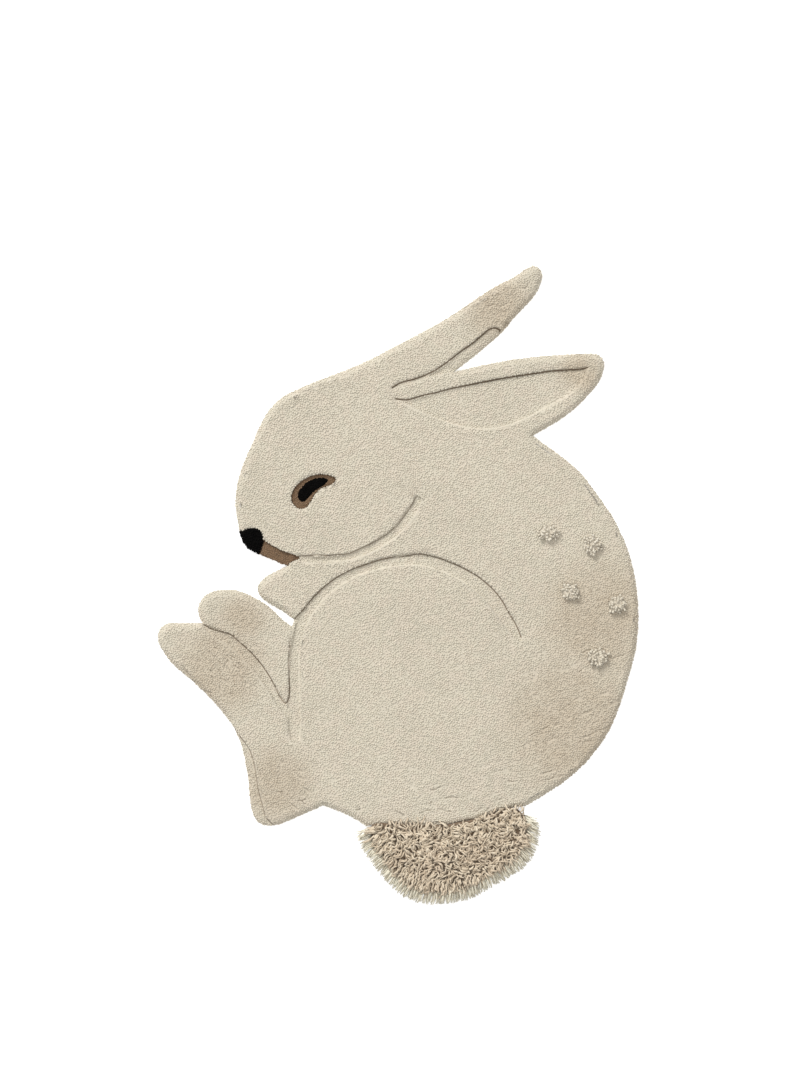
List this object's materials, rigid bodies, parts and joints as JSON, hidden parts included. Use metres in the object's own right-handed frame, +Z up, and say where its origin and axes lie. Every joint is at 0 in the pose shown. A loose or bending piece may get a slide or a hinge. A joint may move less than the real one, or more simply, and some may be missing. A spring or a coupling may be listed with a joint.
{
  "type": "rabbit shaped kids rug",
  "caption": "Tufted floor rug in the outline of a curled-up rabbit, with carved cut pile, raised tufts on the back and a shag tail.",
  "frame": {"origin": "middle of the rug's bounding box, on the floor plane that its underside lies on", "axes": "+Z up through the pile, +Y towards the ears along the rug's length, -X towards the nose"},
  "size_m": [0.9022, 1.2022, 0.0294],
  "materials": {
    "cream_pile": "matt velvety cut pile of cream wool",
    "cream_tuft": "matt raised tufts of cream wool",
    "shag_yarn": "matt long twisted wool yarn, with darker gaps between the locks",
    "brown_pile": "matt low pile of brown wool",
    "black_pile": "matt low pile of black wool"
  },
  "bodies": {
    "root": {"rug_body": "cream_pile", "eye_surround": "brown_pile", "eye_pupil": "black_pile", "nose": "black_pile", "mouth_band": "brown_pile", "spot_tuft_1": "cream_tuft", "spot_tuft_2": "cream_tuft", "spot_tuft_3": "cream_tuft", "spot_tuft_4": "cream_tuft", "spot_tuft_5": "cream_tuft", "tail_shag": "shag_yarn"}
  },
  "joints": []
}
